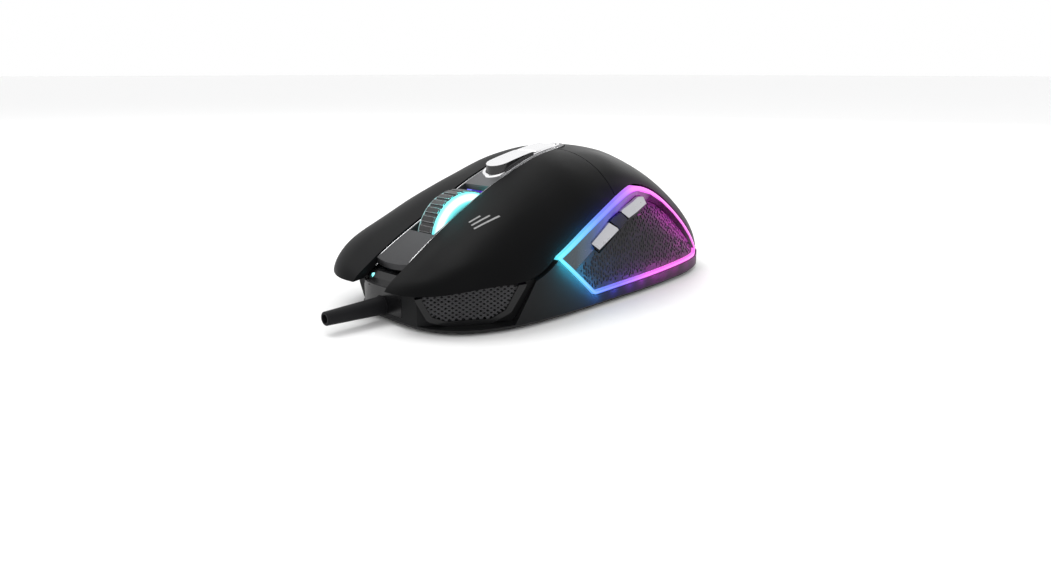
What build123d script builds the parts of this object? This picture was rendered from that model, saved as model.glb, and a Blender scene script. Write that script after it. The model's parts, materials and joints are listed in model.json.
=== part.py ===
"""Right-handed wired gaming mouse, in millimetres.

Frame: origin on the desk plane at the centre of the footprint's bounding box, +X to the user's
right, +Y towards the nose where the cable leaves, +Z up. The thumb side is at -X.
"""

from build123d import *
import math
import os

# ---------------------------------------------------------------- driving dimensions
WALL = 2.0  # moulded shell thickness
DESK_GAP = 0.7  # underside of the base above the desk, on its glide feet
FLOOR_TOP = 2.7
PART_GAP = 0.25  # parting gap between fixed mouldings
FLEX_Y = -8.0  # seam between the primary buttons and the palm shell
PRESS_GAP = 0.9  # gap under a primary button's edge, room for its travel
POLE_Y = 8.0  # plan point that the shell's meridians run to, inside the console slot

WHEEL_Y, WHEEL_Z, WHEEL_R = 25.0, 18.3, 13.2
WHEEL_HALF = 2.8  # half width of the tyre
LIGHT_HALF = 4.5  # half width over the wheel's light covers
SLOT_HALF, SLOT_FRONT, SLOT_REAR = 5.0, 38.6, 18.8  # wheel slot in the console

PCB_Z, PCB_TOP = 5.2, 6.4
SENSOR_Y = -2.0
BUTTON_PIVOT = (-9.5, 27.5)  # y, z of the primary buttons' hinge rod
PIN_R = 1.0
CRADLE_PIVOT = (41.5, 9.6)  # y, z of the wheel cradle's pivot
PIVOT_R = 1.2
AXLE_R = 1.25
TREAD_RIBS = 30
BOOT_Z, BOOT_TIP_Y, BOOT_TIP_R = 4.2, 69.5, 1.8
BOOT_HOLE_R = 2.75  # outlet in the nose that the boot passes through
CABLE_R, LEAD_R, BORE_LENGTH = 1.2, 0.9, 12.0
KEY_HALF = 4.0  # half width of the resolution keys' pocket
KEY_TRAVEL = 0.4
BEZEL_T = 0.9  # width of the bright rim round the resolution keys
DPI_BOARD_Z = 29.8
DPI_STEMS_Y, DPI_PILLARS_Y = (6.0, -6.5), (-11.5, 12.0)
PLUNGER_X, PLUNGER_Y, PLUNGER_R = {-1: -16.0, 1: 13.0}, 31.5, 1.0
PUSH_POST_R = 1.6  # the buttons' posts over the plungers
PUSHER_Z = PCB_TOP + 7.3
SCREW_R = 0.9
SHELL_SCREW_X, SHELL_SCREW_Y, BOSS_TOP = (-15.0, 15.0), -46.0, 9.0
BOARD_SCREWS = [(-14, -34), (14, -34), (-17.5, 8), (17.5, 8)]
RECESS_LEAN, RECESS_PUSH = 7.0, 0.5  # degrees and mm of the flank's recess
GRIP_T, FRAME_T, LEDGE_T = 1.8, 1.4, 1.6  # thickness of the rubber, its frame and the slanted ledge
FRAME_TOP = 24.6  # top of the side frames, under the palm shell's hinge
KEY_CLEARANCE = 0.3  # round the thumb keys in their openings
CONSOLE_HALF, CONSOLE_REAR = 5.9, -9.0  # half width of the console, centre of its round rear end
STRIP_T = 1.5  # thickness of the console's cover strip
POST_R = 3.0  # screw posts of the palm shell
RUN_GAP = 0.05  # running clearance of pins, axles and plungers

# Plan outline of the shell at its widest, from the nose round the thumb side to the tail and back.
BRIM = [(0, 57.3), (-9, 57.0), (-17.5, 54.5), (-25, 48.5), (-30.5, 38), (-32.5, 24), (-32.2, 4),
        (-31.3, -20), (-29.6, -38), (-25.5, -54), (-15, -65.6), (0, -69.5),
        (14, -65.6), (24.5, -54), (29.5, -38), (31.5, -20), (32.4, 0), (32.7, 18), (32.3, 32),
        (29.5, 43), (25, 50), (18, 55), (9, 57.2)]
# Plan outline of the base, which tucks in under the right button.
FOOTPRINT = [(0, 52.6), (-9, 52.9), (-17.5, 51.9), (-24.5, 47.8), (-30.0, 38.5), (-32.5, 24),
             (-32.4, 4), (-31.5, -20), (-29.8, -38), (-25.7, -54), (-15, -65.8), (0, -69.5),
             (14, -65.8), (24.5, -54.4), (29.0, -38), (31, -20), (31.5, -2), (30.0, 16), (27, 30),
             (21.5, 41), (15, 48), (8, 51.8)]


def smooth(*points):
    """A smooth curve through (input, output) points: cubic Hermite with neighbour slopes."""
    points = sorted(points)

    def slope(i):
        low, high = max(i - 1, 0), min(i + 1, len(points) - 1)
        return (points[high][1] - points[low][1]) / (points[high][0] - points[low][0])

    def value(v):
        v = min(max(v, points[0][0]), points[-1][0])
        i = max(k for k in range(len(points) - 1) if points[k][0] <= v)
        (a, fa), (b, fb) = points[i], points[i + 1]
        t = (v - a) / (b - a)
        rise = slope(i) * (t**3 - 2 * t**2 + t) + slope(i + 1) * (t**3 - t**2)
        return fa * (2 * t**3 - 3 * t**2 + 1) + fb * (3 * t**2 - 2 * t**3) + rise * (b - a)

    return value


ridge = smooth((-70, 26), (-56, 32.3), (-44, 37.0), (-30, 41.0), (-20, 42.2), (-13, 42.1), (0, 39.9),
               (8.5, 37.0), (21, 31.7), (37.4, 22.7), (44, 18.9), (50.5, 14.8), (57, 11.6), (62, 9.0))
crown = smooth((-70, 9), (-40, 12), (-20, 13), (10, 13), (30, 10), (45, 6), (57, 3))
crown_power = smooth((-70, 2.2), (-20, 2.3), (10, 2.8), (30, 3.6), (57, 4.0))
finger_dish = smooth((20, 0), (33, 0.8), (45, 2.0), (57, 2.4))
shoulder = smooth((-69.5, 2.6), (-50, 3.1), (-30, 4.5), (10, 7.0), (57, 9.0))
console_drop = smooth((-16, 0.3), (0, 0.4), (57, 0.5))
key_crest = smooth((-14, 42.4), (-0.5, 40.6), (8, 38.8), (14.5, 37.0))
CROWN_WIDTH = 33.0
DISH_WIDTH = 6.5


def top_height(x, y):
    """Height of the shell: a ridge line, lower at the flanks, dished beside the console."""
    aside = max(abs(x) - CONSOLE_HALF, 0) ** 2
    dish = finger_dish(y) * aside / (aside + DISH_WIDTH**2)
    return ridge(y) + dish - crown(y) * abs(x / CROWN_WIDTH) ** crown_power(y)


def console_height(y):
    return ridge(y) - console_drop(y)


# ---------------------------------------------------------------- shape helpers
def block(x0, x1, y0, y1, z0, z1):
    return Pos((x0 + x1) / 2, (y0 + y1) / 2, (z0 + z1) / 2) * Box(x1 - x0, y1 - y0, z1 - z0)


def outline_face(points, radius=0.0):
    if radius:
        return make_face(FilletPolyline(*points, radius=radius, close=True))
    return make_face(Polyline(*points, close=True))


def prism_x(points, x0, x1, radius=0.0):
    """Extrudes a (y, z) outline along X."""
    return extrude(Plane.YZ.offset(x0) * outline_face(points, radius), amount=x1 - x0)


def prism_z(points, z0, z1):
    """Extrudes an (x, y) outline along Z."""
    return extrude(Plane.XY.offset(z0) * outline_face(points), amount=z1 - z0)


def rod_x(y, z, radius, x0, x1):
    return Pos((x0 + x1) / 2, y, z) * Rot(0, 90, 0) * Cylinder(radius, x1 - x0)


def rod_z(x, y, radius, z0, z1):
    return Pos(x, y, (z0 + z1) / 2) * Cylinder(radius, z1 - z0)


def rod_between(start, end, radius):
    """A cylinder from one (x, y, z) point to another."""
    start, end = Vector(*start), Vector(*end)
    length = (end - start).length
    seat = Plane(origin=(start + end) * 0.5, z_dir=end - start)
    return seat * Cylinder(radius, length)


# ---------------------------------------------------------------- the shell's domed skin
RINGS = 56  # points round each loop of the skin
WALL_LEVELS = (0, 0.15, 0.3, 0.45, 0.6, 0.75, 0.87, 0.95)  # share of the height, up the side
CROWN_LEVELS = (0.12, 0.25, 0.4, 0.55, 0.7, 0.85)  # share of the way from shoulder to pole
CAP = 0.96


def inset_outline(points, inset):
    """Points evenly spaced along the closed smooth curve through points, moved inwards."""
    edge = Spline(*points, periodic=True)
    placed = []
    for i in range(RINGS):
        at, along = edge.position_at(i / RINGS), edge.tangent_at(i / RINGS)
        placed.append((at.X - along.Y * inset, at.Y + along.X * inset))
    return placed


def dome(inset, floor_z):
    """Solid under the shell's outer surface, moved inwards by inset, down to floor_z."""

    def height(x, y):
        return top_height(x, y) - inset * 1.08 - floor_z

    loops = [[] for _ in range(len(WALL_LEVELS) + len(CROWN_LEVELS) + 1)]
    slope = (height(0, POLE_Y + 1) - height(0, POLE_Y - 1)) / 2
    for x0, y0 in inset_outline(BRIM, inset):
        power = shoulder(y0)
        levels = [1 - (1 - s**power) ** (1 / power) for s in WALL_LEVELS]
        levels += [levels[-1] + (1 - levels[-1]) * k for k in CROWN_LEVELS]
        for loop, g in zip(loops, levels):
            x, y = x0 * (1 - g), y0 + (POLE_Y - y0) * g
            share = (1 - (1 - g) ** power) ** (1 / power)
            loop.append((x, y, floor_z + height(x, y) * share))
        x, y = x0 * (1 - CAP), y0 + (POLE_Y - y0) * CAP
        loops[-1].append((x, y, floor_z + height(0, POLE_Y) + slope * (y - POLE_Y)))
    return Solid.make_loft([Wire(Spline(*loop, periodic=True)) for loop in loops])


def footprint_face(inset, z):
    edge = Spline(*inset_outline(FOOTPRINT, inset), periodic=True)
    return Plane.XY.offset(z) * make_face(edge)


# ---------------------------------------------------------------- parting lines, seen from the side
LEFT_EDGE = [(62, 9.6), (52, 10.2), (45.5, 11.4), (38, 12.0), (31, 12.2), (26, 13.6), (20.5, 16.9),
             (7.7, 22.7), (-9, 29.2), (-18, 31.1), (-27.4, 29.1), (-38.4, 22.3), (-48.4, 13.8),
             (-55.5, 6.4), (-60, 4.6), (-74, 4.4)]
RING_TOP = [(20.5, 16.6), (7.7, 22.4), (-9, 28.9), (-18, 30.8), (-27, 28.8), (-38, 22), (-48, 13.5),
            (-54.6, 6.9)]
RING_CORNERS = [(-52.5, 5.0), (5.2, 4.0)]
GUIDE_TOP = [(18.3, 16.2), (7.2, 21.2), (-9.4, 27.7), (-18, 29.5), (-26.5, 27.6), (-37.3, 21.1),
             (-47.2, 12.7), (-52.9, 7.3)]
GUIDE_CORNERS = [(-51.7, 5.95), (4.75, 4.95)]
GRIP_TOP = [(12.4, 11.6), (4.8, 15.4), (-8.6, 21.4), (-20, 25.0), (-27.5, 25.4), (-36.9, 20.4),
            (-46.7, 12.2), (-52.0, 7.4)]
GRIP_CORNERS = [(-51.3, 6.2), (4.9, 5.2)]
CORNER_R = 2.2


def side_outline(top, corners, grow=0.0):
    """Closed (y, z) face: a smooth upper line from the tip to the rear, then straight back."""
    edge = Spline(*top)
    moved = []
    for k, (y, z) in enumerate(top):
        along = edge.tangent_at(k / (len(top) - 1))
        ahead = {0: -grow, len(top) - 1: grow}.get(k, 0.0)
        moved.append((y + along.Y * grow + along.X * ahead, z - along.X * grow + along.Y * ahead))
    (rear_y, rear_z), (front_y, front_z) = corners
    rear, front = (rear_y - grow, rear_z - grow), (front_y + grow, front_z - grow)
    face = make_face(Spline(*moved) + Polyline(moved[-1], rear, front, moved[0]))
    return face.face().fillet_2d(CORNER_R, [v for v in face.vertices() if near(v, rear) or near(v, front)])


def near(vertex, point):
    return abs(vertex.X - point[0]) + abs(vertex.Y - point[1]) < 0.01


def side_prism(face, x0, x1):
    return extrude(Plane.YZ.offset(x0) * face, amount=x1 - x0)


def under_edge(rise, x0, x1):
    """Everything below the shell's lower edge, raised by rise, between two x planes."""
    edge = [(y, z + rise) for y, z in LEFT_EDGE]
    face = make_face(Spline(*edge[:7]) + Spline(*edge[6:13]) + Spline(*edge[12:])
                     + Polyline(edge[-1], (-74, -5), (62, -5), edge[0]))
    return extrude(Plane.YZ.offset(x0) * face, amount=x1 - x0)


def console_plan(gap, z0, z1):
    """The straight console between the buttons: wide at the nose, round at its rear end."""
    half = CONSOLE_HALF - gap
    nose = half + 1.0
    body = prism_z([(-nose, 62), (-nose, 48), (-half, 34), (-half, CONSOLE_REAR), (half, CONSOLE_REAR),
                    (half, 34), (nose, 48), (nose, 62)], z0, z1)
    return body + rod_z(0, CONSOLE_REAR, half, z0, z1)


def band(top_line, low_line, y0, y1):
    """Everything between two lines z(y) along the middle of the body."""
    steps = 16
    ys = [y0 + (y1 - y0) * i / steps for i in range(steps + 1)]
    top = Spline(*[(y, top_line(y)) for y in ys])
    low = Spline(*[(y, low_line(y)) for y in reversed(ys)])
    face = make_face(top + Line(top @ 1, low @ 0) + low + Line(low @ 1, top @ 0))
    return extrude(Plane.YZ.offset(-12) * face, amount=24)


def console_band(drop_top, drop_bottom, y0, y1):
    """A band that follows the console's top line, between two depths below it."""
    return band(lambda y: console_height(y) - drop_top, lambda y: console_height(y) - drop_bottom, y0, y1)


# ---------------------------------------------------------------- pods and thumb keys
POD_ORIGIN = {-1: (-16.5, 52.3), 1: (11.3, 50.3)}  # x, y of each pod's front upright
POD_TURN = 32.3  # degrees that the pods' faces are turned from the body's side to its nose
POD_DEPTH = 1.4
POD_WALL = [(-3, 0.8), (29, 0.8), (29, 16), (-3, 16)]
POD_CUT = [(-4, 1.7), (23, 1.7), (29.2, 12.5), (29.2, 20), (-4, 20)]
POD_FRAME = [(-1.6, 14), (-1.6, 8.6), (1.2, 3.2), (5.6, 1.75), (17.6, 1.75), (22.4, 4.2), (28.2, 14)]
POD_WINDOW = [(0.2, 13), (0.2, 8.4), (2.4, 4.3), (6.0, 2.95), (17.2, 2.95), (21.0, 5.0), (25.4, 13)]
POD_ROUND = 2.4
HOLE_PITCH, HOLE_R = 1.68, 0.52
FORWARD_KEY = [(4.9, 18.2), (2.4, 15.8), (1.2, 14.9), (-7.0, 18.8), (-6.2, 20.7), (-3.1, 22.7)]
FORWARD_EDGES = ((4.3, 17.9), (-4.3, 23.0)), ((2.2, 16.3), (-7.4, 20.7))
BACK_KEY = [(-9.3, 24.9), (-12.0, 22.7), (-12.5, 21.5), (-21.6, 24.0), (-22.4, 25.4), (-21.6, 27.6),
            (-19.0, 27.8)]
BACK_EDGES = ((-9.1, 24.8), (-19.3, 28.2)), ((-11.7, 22.8), (-21.2, 25.3))
KEY_TRIM = [(-3.6, 23.1), (-8.9, 24.6), (-12.0, 21.6), (-7.4, 19.2), (-6.6, 20.9)]
KEY_INNER = 2.8  # how far in from the body's side the keys reach
KEY_STEM_X, KEY_REST_GAP = -26.6, 0.55  # end of the keys' stems, and their distance from the switches
KEY_STEM_R, KEY_STEM_START = 1.1, -28.9
SIDE_BOARD_X, SIDE_LED_T = 23.0, 0.6
SIDE_SWITCHES = [(-2.0, 18.6), (-16.0, 24.4)]  # y, z


# ---------------------------------------------------------------- master solids
outer = dome(0.0, DESK_GAP)
inner = dome(WALL, DESK_GAP - 0.3)
skin = outer - inner
LOW_TOP = 17.0
base_outer = (extrude(footprint_face(0.0, 1.5), amount=LOW_TOP - 1.5)
              + loft([footprint_face(0.9, DESK_GAP), footprint_face(0.0, 1.5)]))
base_inner = extrude(footprint_face(WALL, FLOOR_TOP), amount=LOW_TOP)
ring_face = side_outline(RING_TOP, RING_CORNERS)
ring_cut = side_outline(RING_TOP, RING_CORNERS, grow=0.3)
guide_face = side_outline(GUIDE_TOP, GUIDE_CORNERS)
grip_face = side_outline(GRIP_TOP, GRIP_CORNERS)
grip_cut = side_outline(GRIP_TOP, GRIP_CORNERS, grow=0.1)


def flank(face, side, depth=22):
    """Side prism of a (y, z) face, outside x = depth on one side of the body."""
    x0, x1 = sorted((side * depth, side * 40))
    return side_prism(face, x0, x1)


# ---------------------------------------------------------------- top shells
def primary_button(side):
    """Button skin with its hinge ear and the post over its switch."""
    x0, x1 = (-40, 0) if side < 0 else (0, 40)
    shell = skin & block(x0, x1, FLEX_Y + PART_GAP / 2, 62, 0, 60)
    shell = shell - under_edge(0.3, x0 - 1, x1 + 1) - console_plan(0.0, 0, 60)
    y, z = BUTTON_PIVOT
    ear_x = sorted((side * 21.2, side * 23.2))
    ear = prism_x([(y - 2.2, z - 1.8), (y + 2.2, z - 1.8), (y + 5.5, z + 11), (y + 2.0, z + 11),
                   (y + 2.0, z + 3.2), (y - 2.2, z + 2.2)], *ear_x)
    post = rod_z(PLUNGER_X[side], PLUNGER_Y, PUSH_POST_R, PUSHER_Z, 32)
    button = shell + (ear & outer) + (post & outer)
    return button - rod_x(y, z, PIN_R + RUN_GAP, ear_x[0] - 1, ear_x[1] + 1)


def palm_shell():
    """Rear shell: palm skin, screw posts, hinge cheeks and the tongue under the console."""
    shell = skin & block(-40, 40, -75, FLEX_Y - PART_GAP / 2, 0, 60)
    shell = shell - under_edge(0.3, -41, 41) - console_plan(0.0, 0, 60)
    shell = shell - flank(ring_cut, -1) - flank(ring_cut, 1)
    posts = Part() + [rod_z(x, SHELL_SCREW_Y, POST_R, BOSS_TOP, 40) & outer for x in SHELL_SCREW_X]
    y, z = BUTTON_PIVOT
    cheek = [(y - 3.5, z - 2.4), (y + 1.1, z - 2.4), (y + 1.1, z + 3), (y - 1.5, z + 11), (y - 6, z + 11)]
    cheeks = Part() + [prism_x(cheek, *sorted((s * 18.4, s * 20.6))) & outer for s in (-1, 1)]
    tongue = console_band(STRIP_T + 0.1, STRIP_T + 1.7, -20, 15.5) & block(-5.4, 5.4, -21, 18, 0, 60)
    pillars = Part() + [rod_z(0, py, 1.3, DPI_BOARD_Z + 1, console_height(py) - 2) for py in DPI_PILLARS_Y]
    stems = Part() + [rod_z(0, sy, 1.7, 20, 60) for sy in DPI_STEMS_Y]
    shell = shell + posts + cheeks + tongue + pillars - stems
    for x in SHELL_SCREW_X:
        shell -= rod_z(x, SHELL_SCREW_Y, SCREW_R, BOSS_TOP - 1, BOSS_TOP + 8)
    return shell - rod_x(y, z, PIN_R, -21, 21)


def hinge_rod():
    y, z = BUTTON_PIVOT
    return rod_x(y, z, PIN_R, -23.6, 23.6)


# ---------------------------------------------------------------- console between the buttons
def key_plan(grow, z0, z1):
    """Plan of the resolution keys' pocket: straight sides, round rear, blunt tip in front."""
    half = KEY_HALF + grow
    body = block(-half, half, -8, 10, z0, z1) + rod_z(0, -8, half, z0, z1)
    return body + rod_z(0, 10, half, z0, z1)


def spine():
    """Console cover: a strip that follows the shell's ridge, with the wheel slot and key pocket."""
    strip = console_band(0, STRIP_T, -16, 49.4)
    rails = console_band(STRIP_T - 0.1, 4.0, 18, 44) - block(-SLOT_HALF, SLOT_HALF, 10, 60, 0, 60)
    rounded_front = rod_z(0, 18.4, 31.0, 0, 60) + block(-9, 9, -20, 18, 0, 60)
    cover = (strip + rails) & console_plan(PART_GAP + 0.1, 0, 60) & rounded_front
    slot = block(-SLOT_HALF, SLOT_HALF, SLOT_REAR, SLOT_FRONT, 0, 60)
    return cover - slot - key_plan(BEZEL_T, 20, 60)


def dpi_bezel():
    """Bright rim round the two resolution keys, a little proud of the console."""
    rim = key_plan(BEZEL_T - 0.05, 20, 60) - key_plan(0.0, 19, 61)
    return rim & console_band(-0.5, STRIP_T, -16, 18)


def dpi_key(y0, y1, stem_y):
    """Resolution key: a cap that stands proud in front, with a stem down to its switch."""
    body = band(key_crest, lambda y: console_height(y) - 1.0, -15, 16)
    cap = key_plan(-0.2, 20, 60) & body & block(-9, 9, y0, y1, 0, 60)
    cap = chamfer(cap.faces().sort_by(Axis.Z)[-1].edges(), 0.35)
    return cap + rod_z(0, stem_y, 1.2, DPI_BOARD_Z + 3.05 + KEY_TRAVEL, console_height(stem_y))


def dpi_board():
    return block(-4.4, 4.4, -13.2, 13.6, DPI_BOARD_Z, DPI_BOARD_Z + 1)


def dpi_switches():
    return Part() + [block(-2, 2, y - 2, y + 2, DPI_BOARD_Z + 1, DPI_BOARD_Z + 3) for y in DPI_STEMS_Y]


# ---------------------------------------------------------------- base
def pod_plane(side):
    """Frame of a grille pod's flat face, its x axis running back along the body's side."""
    x, y = POD_ORIGIN[side]
    turn = math.radians(POD_TURN)
    return Plane(origin=(x, y, 0), x_dir=(side * math.sin(turn), -math.cos(turn), 0),
                 z_dir=(side * math.cos(turn), math.sin(turn), 0))


def pod_prism(side, points, depth_in, depth_out, radius=0.0):
    """Extrudes a (along, up) outline through the pod's face, from depth_in inside it outwards."""
    plane = pod_plane(side)
    face = plane.offset(-depth_in) * outline_face([(u, -side * v) for u, v in points], radius)
    return extrude(face, amount=depth_in + depth_out, dir=plane.z_dir)


def base_shell():
    """Lower tray: floor, skirt, grille pods, bosses, wheel posts and board stand-offs."""
    tray = base_outer - base_inner
    rear = under_edge(-PART_GAP - 0.1, -41, 41) & block(-41, 41, -75, FLEX_Y - 2, -5, 60)
    tray = tray & (under_edge(-PRESS_GAP, -41, 41) + rear)
    for side in (-1, 1):
        wall = pod_prism(side, POD_WALL, POD_DEPTH + 1.6, -POD_DEPTH)
        tray = tray + (wall & base_outer & under_edge(-PRESS_GAP, -41, 41))
        tray = tray - pod_prism(side, POD_CUT, POD_DEPTH, 14)
        tray = tray - flank(ring_cut, side)
    for x in SHELL_SCREW_X:
        tray = tray + rod_z(x, SHELL_SCREW_Y, 3.6, 2, BOSS_TOP)
        tray = tray - rod_z(x, SHELL_SCREW_Y, 2.5, 0, 3.4) - rod_z(x, SHELL_SCREW_Y, SCREW_R + 0.2, 3, 12)
    for x, y in BOARD_SCREWS:
        tray = tray + rod_z(x, y, 2.2, 2, PCB_Z) - rod_z(x, y, SCREW_R, 3.2, 8)
    y, z = CRADLE_PIVOT
    for x0, x1 in ((-9.8, -7.0), (7.0, 9.8)):
        tray = tray + block(x0, x1, y - 1.9, y + 1.9, 2, z + 2.4)
    tray = tray - rod_x(y, z, PIVOT_R + RUN_GAP, -12, 12)
    tray = tray + block(-25.2, -21.9, -22, 6, 2, 12) + block(21.9, 25.2, -22, 6, 2, 12)
    tray = tray - rod_z(0, SENSOR_Y, 3.2, 0, 4)
    tray = tray - block(-9.2, 9.2, 49.9, 60, 2.7, 12)
    nose_wall = block(-9.2, 9.2, 48.4, 49.9, 2, 8.6)
    return tray + (nose_wall - rod_between((0, 45, BOOT_Z), (0, 55, BOOT_Z), BOOT_HOLE_R))


def grille_frame(side):
    frame = pod_prism(side, POD_FRAME, POD_DEPTH, 0.25, POD_ROUND)
    frame = frame - pod_prism(side, POD_WINDOW, POD_DEPTH + 1, 2, POD_ROUND - 1.1)
    return frame & pod_room()


def pod_room():
    """Space of the pods, below what the primary buttons need as they are pressed."""
    return under_edge(-PRESS_GAP, -42, 42)


def grille(side):
    """Perforated panel in the pod's window: staggered round holes."""
    panel = pod_prism(side, POD_WINDOW, POD_DEPTH - 0.2, -0.5, POD_ROUND - 1.1) & pod_room()
    plane = pod_plane(side)
    holes = []
    for row in range(4):
        z = 3.4 + 1.45 * row
        for k in range(13):
            u = 2.4 + HOLE_PITCH * (k + 0.5 * (row % 2))
            if 4.6 - 0.75 * (z - 2) < u < 19.6 + 0.62 * (z - 2):
                a = plane.from_local_coords((u, 0, -3))
                b = plane.from_local_coords((u, 0, 3))
                holes.append(rod_between((a.X, a.Y, z), (b.X, b.Y, z), HOLE_R))
    return panel - holes


NOSE_TOP = 9.35
NOSE_WING = [(46.9, 10.6), (50.9, 10.6), (49.9, 11.1), (46.9, 11.8)]
NOSE_RISE = [(46.9, 8.7), (52.4, 8.7), (51.8, 11.0), (50.2, 12.4), (46.9, 13.0)]


def front_fascia():
    """Nose block under the console's front end, between the pods, with the cable outlet."""
    low = block(-9.0, 9.0, 49.95, 60, 2.75, NOSE_TOP) & base_outer
    wing = prism_x(NOSE_WING, -11.0, 13.0)
    rise = prism_x(NOSE_RISE, -5.7, 5.7)
    nose = low + wing + rise
    return nose - rod_between((0, 45, BOOT_Z), (0, 60, BOOT_Z), BOOT_HOLE_R) - rod_nose_light(RUN_GAP)


def rod_nose_light(grow):
    return rod_between((5.0, 47.0, 11.2), (5.0, 52.4, 11.2), 0.6 + grow)


def nose_light():
    return rod_nose_light(0) & block(4, 6, 46.9, 51.3, 9, 13)


# ---------------------------------------------------------------- flanks
def lean(shape, side, push):
    """The shell's outer form leaned and pushed inwards to make the recessed flank."""
    axis = Axis((side * 32.4, 0, 4.5), (0, 1, 0))
    return Pos(-side * push, 0, 0) * shape.rotate(axis, -side * RECESS_LEAN)


def surface_x(shape, side, y, z):
    """Where a line along X at (y, z) first meets a shape on one side."""
    cut = shape & Line((0, y, z), (side * 60, y, z))
    box = cut.bounding_box()
    return box.max.X if side > 0 else box.min.X


recess = {side: lean(outer, side, RECESS_PUSH) for side in (-1, 1)}
LEDGE_STEPS = 12  # straight stretches along the ledge


def light_guide(side):
    """Closed light ring set flush in the flank."""
    return skin & (flank(ring_face, side) - flank(guide_face, side, 21))


def ledge(side):
    """Slanted band from the light ring's inner edge down to the recessed grip."""
    top, low = Spline(*GUIDE_TOP), Spline(*GRIP_TOP)
    sections = []
    for k in range(LEDGE_STEPS + 1):
        a, b = top @ (k / LEDGE_STEPS), low @ (k / LEDGE_STEPS)
        xa = surface_x(outer, side, a.X, a.Y) - side * 0.3
        xb = surface_x(recess[side], side, b.X, b.Y) + side * 0.1
        t = side * LEDGE_T
        corners = [(xa, a.X, a.Y), (xb, b.X, b.Y), (xb - t, b.X, b.Y), (xa - t, a.X, a.Y)]
        sections.append(Wire(Polyline(*corners, close=True)))
    wall = (Solid.make_loft(sections, True) & flank(guide_face, side, 16)) - flank(grip_cut, side, 16)
    return wall if side > 0 else wall - key_openings(KEY_CLEARANCE)


def key_openings(grow):
    """What the keys and their trim pass through, with a gap round them."""
    cut = Part()
    for outline in (FORWARD_KEY, BACK_KEY, KEY_TRIM):
        cut += extrude(Plane.YZ.offset(-40) * offset(outline_face(outline), amount=grow), amount=16)
    return cut


def grip(side):
    """Rubber panel in the flank's recess."""
    panel = (recess[side] - Pos(-side * GRIP_T, 0, 0) * recess[side]) & flank(grip_face, side, 18)
    return panel if side > 0 else panel - key_openings(KEY_CLEARANCE)


def side_frame(side):
    """Inner frame that the grip and the ledge are fixed to."""
    back = Pos(-side * GRIP_T, 0, 0) * recess[side]
    sheet = (back - Pos(-side * FRAME_T, 0, 0) * back) & flank(grip_cut, side, 16)
    frame = sheet & block(-40, 40, -60, 20, 0, FRAME_TOP)
    reach = SIDE_BOARD_X + SIDE_LED_T + PART_GAP
    frame = frame - block(-reach, reach, -22 - PART_GAP, 6 + PART_GAP, 11, 40)
    if side < 0:
        frame = frame - key_openings(KEY_CLEARANCE) - side_switches(PART_GAP)
    return frame.solids().sort_by(SortBy.VOLUME)[-1]  # without the sliver between the key openings


def thumb_key(outline, top, crest):
    """Thumb key: a bevelled bar along the flank; top and crest are its edges' (y, z) end points."""
    sections = []
    y0, y1 = max(p[0] for p in outline) + 1, min(p[0] for p in outline) - 1
    for k in range(3):
        y = y0 + (y1 - y0) * k / 2
        z_top, z_crest = (a[1] + (b[1] - a[1]) * (y - a[0]) / (b[0] - a[0]) for a, b in (top, crest))
        x = surface_x(outer, -1, y, z_crest)
        inner_x = x + KEY_INNER
        profile = [(x + 1.9, z_top), (x + 0.5, z_crest), (x + 1.7, z_crest - 1.6),
                   (inner_x, z_crest - 1.6), (inner_x, z_top)]
        sections.append(Wire(Polyline(*[(px, y, pz) for px, pz in profile], close=True)))
    return Solid.make_loft(sections, True) & prism_x(outline, -40, -20, radius=0.4)


def key_stem(y, z):
    return rod_x(y, z, KEY_STEM_R, KEY_STEM_START, KEY_STEM_X)


def forward_button():
    y, z = SIDE_SWITCHES[0]
    return thumb_key(FORWARD_KEY, FORWARD_EDGES[0], FORWARD_EDGES[1]) + key_stem(y, z)


def back_button():
    y, z = SIDE_SWITCHES[1]
    return thumb_key(BACK_KEY, BACK_EDGES[0], BACK_EDGES[1]) + key_stem(y, z)


def key_trim():
    return thumb_key(KEY_TRIM, FORWARD_EDGES[0], FORWARD_EDGES[1])


def side_board(side):
    """Upright board behind the grip, notched under the button's hinge ear."""
    outline = [(-22, 12), (6, 12), (6, 24.8), (-12.6, 24.8), (-12.6, 26), (-22, 26)]
    return prism_x(outline, *sorted((side * SIDE_BOARD_X, side * (SIDE_BOARD_X - 1))))


def side_switches(grow=0.0):
    """Switches behind the thumb keys; grow widens them for the room they need."""
    front, back = KEY_STEM_X + KEY_REST_GAP - grow, -SIDE_BOARD_X
    half_y, half_z = 1.5 + grow, 1.2 + grow
    return Part() + [block(front, back, y - half_y, y + half_y, z - half_z, z + half_z)
                     for y, z in SIDE_SWITCHES]


def side_leds(side):
    x0, x1 = sorted((side * SIDE_BOARD_X, side * (SIDE_BOARD_X + SIDE_LED_T)))
    return Part() + [block(x0, x1, y - 1, y + 1, 22.6, 24.2) for y in (-20.5, -8, 4.5)]


# ---------------------------------------------------------------- wheel
def wheel_hub():
    disc = rod_x(WHEEL_Y, WHEEL_Z, WHEEL_R - 2.0, -WHEEL_HALF, WHEEL_HALF)
    return disc - rod_x(WHEEL_Y, WHEEL_Z, AXLE_R, -8, 8)


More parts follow.
